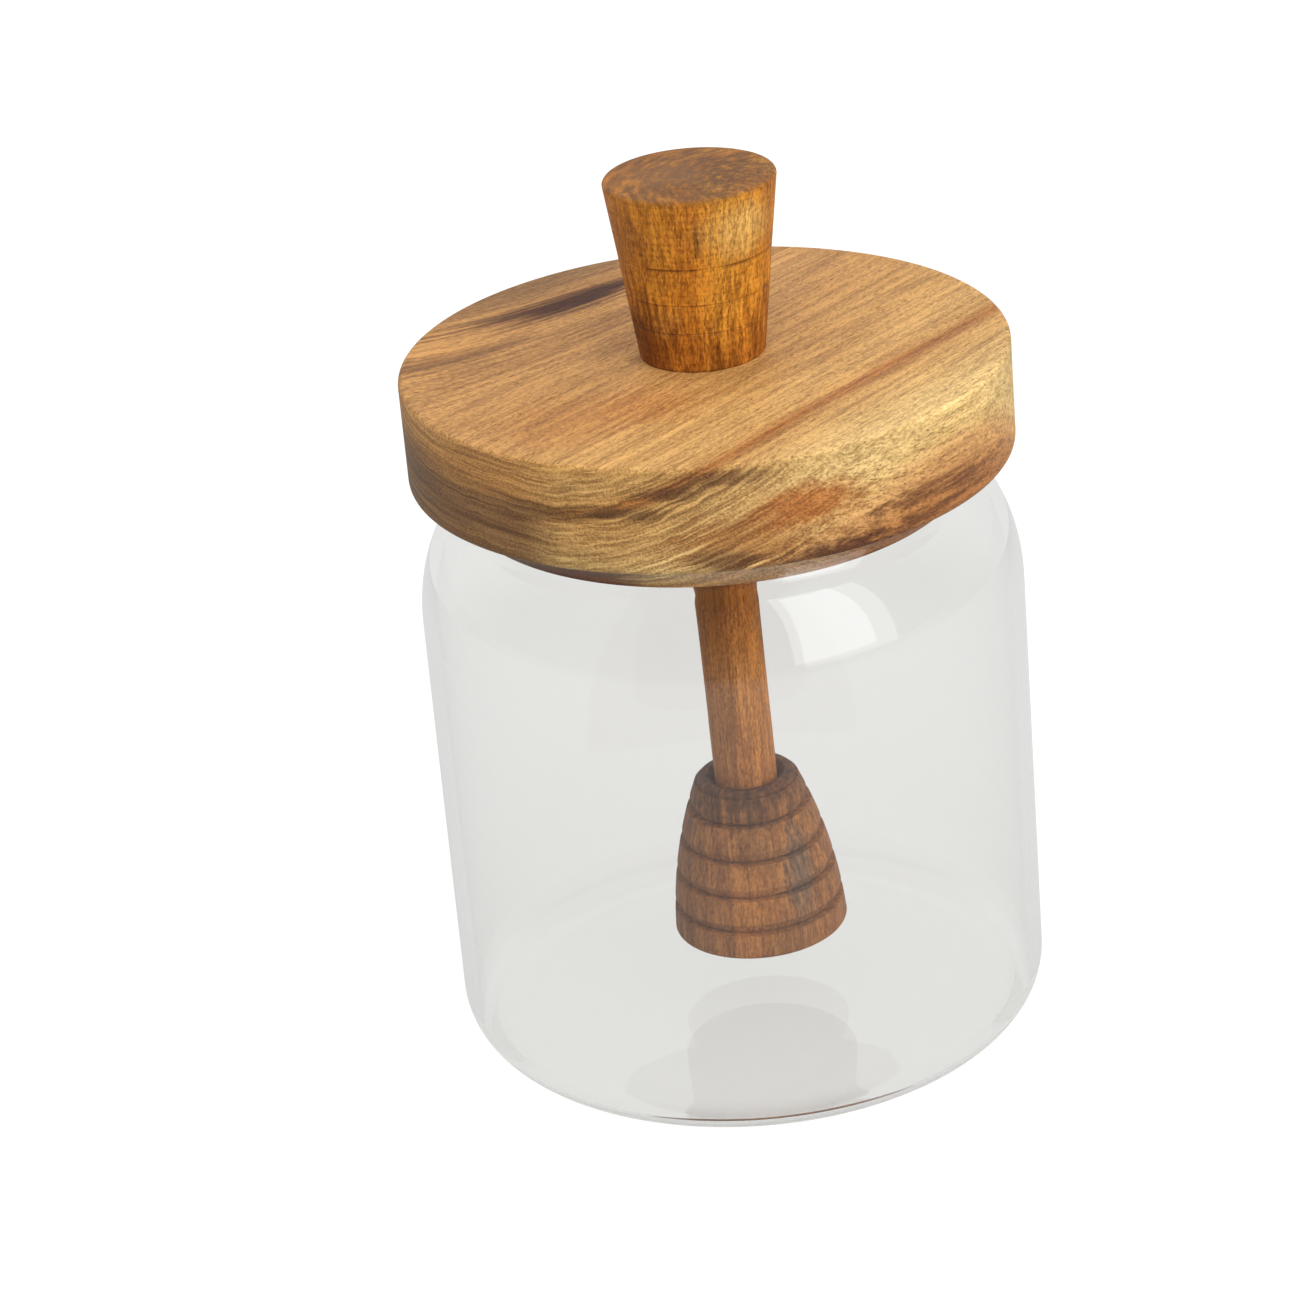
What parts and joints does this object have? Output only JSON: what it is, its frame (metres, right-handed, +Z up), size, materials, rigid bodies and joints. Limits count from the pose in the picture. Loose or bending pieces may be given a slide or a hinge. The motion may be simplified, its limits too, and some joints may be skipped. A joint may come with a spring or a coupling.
{
  "type": "honey jar with dipper",
  "caption": "Round clear glass honey jar with a flat wooden lid, a tapered knob on top and a ribbed dipper hanging inside on a rod.",
  "frame": {"origin": "centre of the jar's foot, at the height of the surface that it stands on", "axes": "+Z up along the jar's axis; the dipper's rod leans towards +X at its bottom; -Y is the front"},
  "size_m": [0.09, 0.09, 0.135],
  "materials": {
    "clear_glass": "clear, colourless blown glass, polished",
    "lid_wood": "oiled mid-brown hardwood with dark streaks, turned and sanded",
    "knob_wood": "oiled golden-brown hardwood, turned",
    "rod_wood": "oiled reddish-brown dowel, grain along it",
    "head_wood": "oiled grey-brown hardwood, turned, with dark grooves"
  },
  "bodies": {
    "root": {"glass_jar": "clear_glass", "lid_disc": "lid_wood", "knob": "knob_wood", "dipper_rod": "rod_wood", "dipper_head": "head_wood"}
  },
  "joints": []
}
